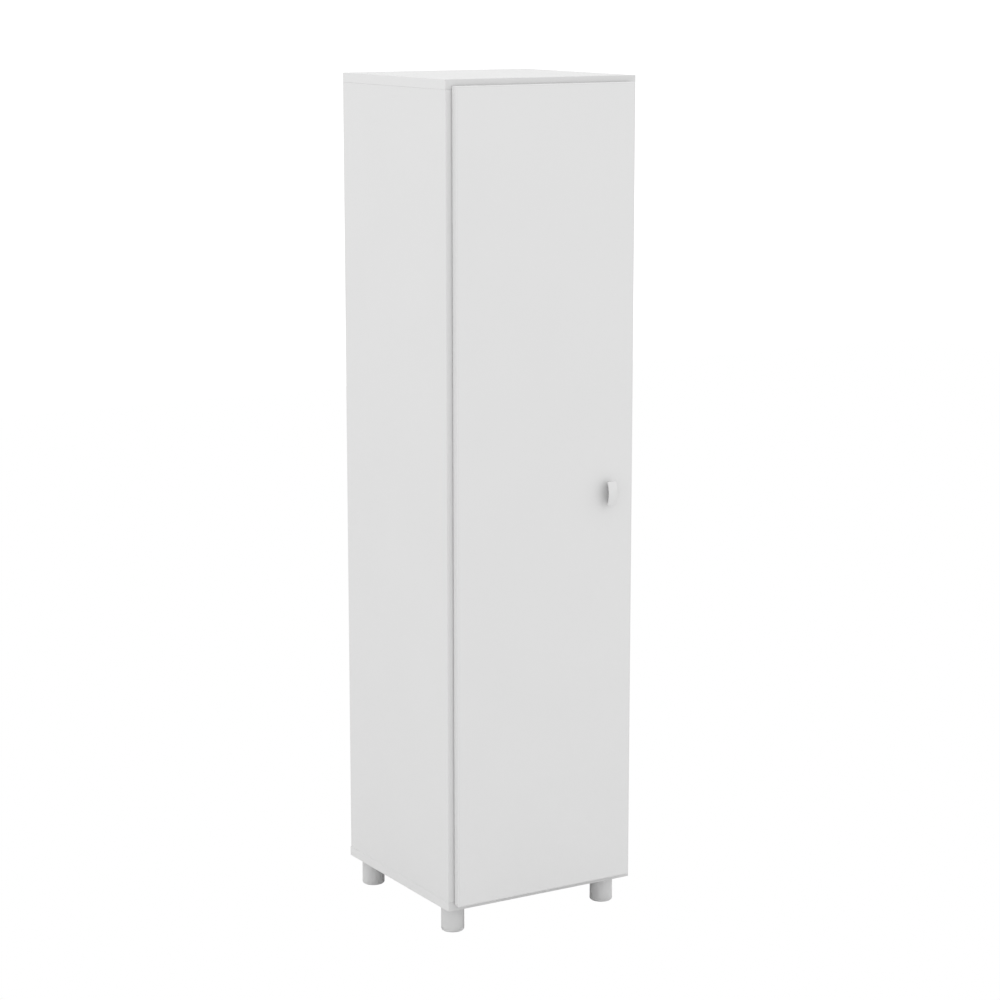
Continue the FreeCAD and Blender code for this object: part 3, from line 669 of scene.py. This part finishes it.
# %% Sizes of the handle
door_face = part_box("door_panel")[0].y
grip_low, grip_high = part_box("handle")
projection, rise, strap = 20.0 * MM, 5.0 * MM, 3.0 * MM
root_width, root_setback, corner_round = 8.0 * MM, 3.0 * MM, 0.8 * MM
hair = 0.01 * MM
grip_left, grip_right = grip_low.x, grip_high.x
grip_middle = (grip_low.z + grip_high.z) / 2
half_length = (grip_high.z - grip_low.z) / 2
bow_radius = (half_length ** 2 + rise ** 2) / (2 * rise)
print(f"the bow has a radius of {bow_radius / MM:.1f} mm")


# %% Handle from a stack of sections
def front_of_handle(z):
    """How far the strap's front stands from the door at a height above the handle's middle."""
    return projection - bow_radius + math.sqrt(bow_radius ** 2 - z ** 2)


def bowed_handle(end_slices=3, middle_slices=34):
    root_end = half_length - root_setback
    heights = [-half_length + root_setback * i / end_slices for i in range(end_slices)]
    heights += [root_end * (2 * i / middle_slices - 1) for i in range(middle_slices + 1)]
    heights += [root_end + root_setback * (i + 1) / end_slices for i in range(end_slices)]
    shape, inner, rings = bmesh.new(), grip_right - root_width, []
    for z in heights:
        front = door_face - front_of_handle(z)
        behind = front + strap
        outline = [(grip_left, front), (grip_right, front), (grip_right, behind),
                   (inner, behind), (grip_left, behind)]
        if abs(z) < root_end + hair:
            outline += [(grip_right, door_face), (inner, door_face)]
        rings.append([shape.verts.new((x, y, grip_middle + z)) for x, y in outline])
    for below, above in zip(rings, rings[1:]):
        sides = [(0, 1), (1, 2), (3, 4), (4, 0)]
        rooted = len(below) == len(above) == 7
        for i, j in sides + ([(2, 5), (5, 6), (6, 3)] if rooted else [(2, 3)]):
            shape.faces.new((below[i], below[j], above[j], above[i]))
    for ring in (rings[0], rings[-1]):
        shape.faces.new(ring[:5])
    for ring in (rings[end_slices], rings[end_slices + middle_slices]):
        shape.faces.new([ring[i] for i in (2, 3, 6, 5)])
    bmesh.ops.recalc_face_normals(shape, faces=shape.faces)
    moulded_edges = [edge for edge in shape.edges
                     if edge.calc_face_angle(0) > math.radians(60)
                     and any(abs(corner.co.y - door_face) > 10 * hair for corner in edge.verts)]
    bmesh.ops.bevel(shape, geom=moulded_edges, offset=corner_round, segments=5, profile=0.5,
                    affect="EDGES", clamp_overlap=True)
    return shape


handle = place_piece("bowed_handle", bowed_handle(), handle_plastic, "handle", "door")
# The faces towards the door and inside the hook are rough from the mould and painted grey as
# shade inside the hook.
handle.data.materials.append(handle_inside_painted_shade)
for face in handle.data.polygons:
    towards_door = face.normal.y > FACING
    inside_hook = face.normal.x < -FACING and face.center.x > grip_left + strap
    face.material_index = 1 if towards_door or inside_hook else 0
print(f"handle {(grip_right - grip_left) / MM:.1f} x {2 * half_length / MM:.1f} mm, "
      f"{projection / MM:.0f} mm off the door")

# %% [markdown]
# ## Screws with a cross recess
#
# What makes a screw look like a screw at arm's length is its domed head and the cross in it. The
# head is turned, and the cross is cut with a boolean: a plus with twelve corners, drawn in like
# the tip of a screwdriver. Two crossed bars would do as well for the eye, but they run through
# each other, and a boolean with such a cutter leaves open edges. Booleans on tiny shapes are
# safest in millimetres, so the screw is made in millimetres and shrunk when it is placed.

# %% The tip that cuts the cross
def driver_tip(wide, narrow, half_bar, start, end):
    """A closed plus, as wide as the recess where it starts and narrow where it ends."""
    tip, rings = bmesh.new(), []
    for z, reach in ((start, wide), (end, narrow)):
        quarter = [(half_bar, half_bar), (half_bar, reach), (-half_bar, reach)]
        plus = quarter + [(-y, x) for x, y in quarter]
        plus += [(-x, -y) for x, y in plus]
        rings.append([tip.verts.new((x, y, z)) for x, y in plus])
    for ring in rings:
        tip.faces.new(ring)
    for i in range(len(plus)):
        j = (i + 1) % len(plus)
        tip.faces.new((rings[0][i], rings[0][j], rings[1][j], rings[1][i]))
    bmesh.ops.recalc_face_normals(tip, faces=tip.faces)
    return tip


trial_tip = driver_tip(2.0, 1.0, half_bar=0.4, start=0, end=1)
print(f"a tip 4 mm across has {len(trial_tip.verts)} corners and fills "
      f"{trial_tip.calc_volume():.1f} mm3")
trial_tip.free()


# %% One screw
HEAD_HEIGHT, FLAT_OF_HEAD, DOME_HEIGHT, RIM = 2.0, 0.42, 1.3, 0.12
RECESS_WIDE, RECESS_NARROW, HALF_BAR = 0.6, 0.22, 0.42
RECESS_DEPTH, CLEAR_OF_HEAD = 1.3, 0.5
POINT, POINT_SHARE = 1.2, 0.4


def as_object(name, shape):
    mesh = bpy.data.meshes.new(name)
    shape.to_mesh(mesh)
    shape.free()
    made = bpy.data.objects.new(name, mesh)
    bpy.context.scene.collection.objects.link(made)
    return made


def cross_head_screw(head_radius, shank_radius, length):
    """In millimetres, the head's underside at zero, the shank along +Z, the cross facing -Z."""
    top, flat = -HEAD_HEIGHT, FLAT_OF_HEAD * head_radius
    outline = [(0, top), (flat, top)]
    outline += [(flat + (head_radius - flat) * math.sin(math.radians(a)),
                 top + DOME_HEIGHT * (1 - math.cos(math.radians(a))))
                for a in range(10, 91, 10)]
    outline += [(head_radius, -RIM), (head_radius - RIM, 0), (shank_radius, 0),
                (shank_radius, length - POINT), (POINT_SHARE * shank_radius, length), (0, length)]
    blank = as_object("screw_blank", turned(outline, turns=48))
    driver = as_object("driver_tip", driver_tip(
        RECESS_WIDE * head_radius, RECESS_NARROW * head_radius, HALF_BAR,
        start=top - CLEAR_OF_HEAD, end=top + RECESS_DEPTH))
    cut = blank.modifiers.new("cross", "BOOLEAN")
    cut.object, cut.operation, cut.solver = driver, "DIFFERENCE", "EXACT"
    bpy.context.view_layer.update()
    sight = bpy.context.evaluated_depsgraph_get()
    finished = bmesh.new()
    finished.from_mesh(blank.evaluated_get(sight).to_mesh())
    bpy.data.objects.remove(blank)
    bpy.data.objects.remove(driver)
    return finished


print(f"cross recess {RECESS_DEPTH} mm deep, its bars {2 * HALF_BAR:.2f} mm wide")

# %% [markdown]
# ## Driving the screws
#
# The same screw serves the hinges, the handle and the wall bracket; only its length and the
# direction it is driven in change. The places are read from the CAD pieces: the box round a
# group of screws says where their line runs and where the heads stop, and the hinges say at
# which heights. Each screw is turned by its own angle, because nobody stops all the crosses
# upright.

# %% Helpers for groups of small pieces
FIRST_TURN, NEXT_TURN = 23, 57


def aimed(direction):
    """The turn that lays a shape made along +Z in another direction."""
    return Vector(direction).to_track_quat("Z", "Y").to_matrix().to_4x4()


def add_to(group, shape):
    """Put one shape into a group of shapes; the shape itself is used up."""
    loose = bpy.data.meshes.new("loose_shape")
    shape.to_mesh(loose)
    shape.free()
    group.from_mesh(loose)
    bpy.data.meshes.remove(loose)


def drive(name, node, body, seats, direction, head_radius, shank_radius, length):
    """Put copies of one screw at each seat, pointing along direction, as one piece."""
    pattern, group = cross_head_screw(head_radius, shank_radius, length), bmesh.new()
    for index, seat in enumerate(seats):
        turn = Matrix.Rotation(math.radians(FIRST_TURN + NEXT_TURN * index), 4, "Z")
        copy = pattern.copy()
        copy.transform(Matrix.Translation(seat) @ aimed(direction) @ turn @ Matrix.Scale(MM, 4))
        add_to(group, copy)
    pattern.free()
    print(f"{name}: {len(seats)} screws of {length:.1f} mm")
    place_piece(name, group, bright_zinc, node, body, sharp=40)


print(f"each cross stands {NEXT_TURN} degrees further round than the last")

# %% Screws of the hinges
HEAD = HEAD_HEIGHT * MM
small_head, small_shank = 3.6, 1.75
cup_screw_offset, plate_screw_offset = 24 * MM, 16 * MM
cup_screw_length, plate_screw_length = 12.0, 14.5
hinge_heights = []
for name in ("bottom", "middle", "top"):
    low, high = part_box(name + "_hinge_cup")
    hinge_heights.append((low.z + high.z) / 2)

low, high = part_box("hinge_cup_screws")
seats = [Vector(((low.x + high.x) / 2, high.y - HEAD, z + offset))
         for z in hinge_heights for offset in (-cup_screw_offset, cup_screw_offset)]
drive("hinge_cup_cross_screws", "hinge_cup_screws", "door", seats, (0, -1, 0),
      small_head, small_shank, cup_screw_length)

low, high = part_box("hinge_plate_screws")
seats = [Vector((high.x - HEAD, (low.y + high.y) / 2, z + offset))
         for z in hinge_heights for offset in (-plate_screw_offset, plate_screw_offset)]
drive("hinge_plate_cross_screws", "hinge_plate_screws", "carcass", seats, (-1, 0, 0),
      small_head, small_shank, plate_screw_length)

low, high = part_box("hinge_arm_screws")
seats = [Vector((high.x - HEAD, (low.y + high.y) / 2, z)) for z in hinge_heights]
drive("hinge_arm_cross_screws", "hinge_arm_screws", "carcass", seats, (-1, 0, 0),
      small_head, small_shank, (high.x - low.x - HEAD) / MM)

# %% Screws of the handle and the wall bracket
handle_head, handle_shank = 4.0, 2.0
low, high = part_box("handle_screws")
seats = [Vector(((low.x + high.x) / 2, high.y - HEAD, z))
         for z in (low.z + handle_head * MM, high.z - handle_head * MM)]
drive("handle_cross_screws", "handle_screws", "door", seats, (0, -1, 0),
      handle_head, handle_shank, (high.y - low.y - HEAD) / MM)

low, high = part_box("wall_bracket_screws")
seats = [Vector((x, (low.y + high.y) / 2, low.z + HEAD))
         for x in (low.x + small_head * MM, high.x - small_head * MM)]
drive("wall_bracket_cross_screws", "wall_bracket_screws", "carcass", seats, (0, 0, 1),
      small_head, small_shank, (high.z - low.z - HEAD) / MM)

# %% [markdown]
# ## The bumpers
#
# Two clear dots on the back of the door keep it a hair away from the side panel and soften the
# sound when it shuts. A dot is poured, so it is a low dome with no edge at all. The dome is a
# quarter of an ellipse turned round its middle.

# %% Domed bumpers
bumper_low, bumper_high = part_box("door_bumpers")
dot_radius = (bumper_high.x - bumper_low.x) / 2
dot_height = bumper_high.y - bumper_low.y
dome = [(0, 0), (dot_radius, 0)]
dome += [(dot_radius * math.cos(math.radians(a)), dot_height * math.sin(math.radians(a)))
         for a in range(10, 91, 10)]
dome[-1] = (0, dot_height)
dots = bmesh.new()
for z in (bumper_low.z + dot_radius, bumper_high.z - dot_radius):
    dot = turned(dome, turns=32)
    middle = Vector(((bumper_low.x + bumper_high.x) / 2, bumper_low.y, z))
    dot.transform(Matrix.Translation(middle) @ aimed((0, 1, 0)))
    add_to(dots, dot)
place_piece("domed_bumpers", dots, soft_dot, "door_bumpers", "door")
print(f"bumpers {2 * dot_radius / MM:.1f} mm across, {dot_height / MM:.1f} mm high")

# %% [markdown]
# ## Measure and finish
#
# Before the scene is closed, the box round everything that shows is set against the box of the
# CAD model. The two should agree, because dressing a piece must not change its size.

# %% Compare the sizes and finish
seen_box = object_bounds()
grown = max(max(cad_box[0][i] - seen_box[0][i], seen_box[1][i] - cad_box[1][i])
            for i in range(3))
print(f"the dressed cupboard stands {grown / MM:.2f} mm outside the measured one at most")
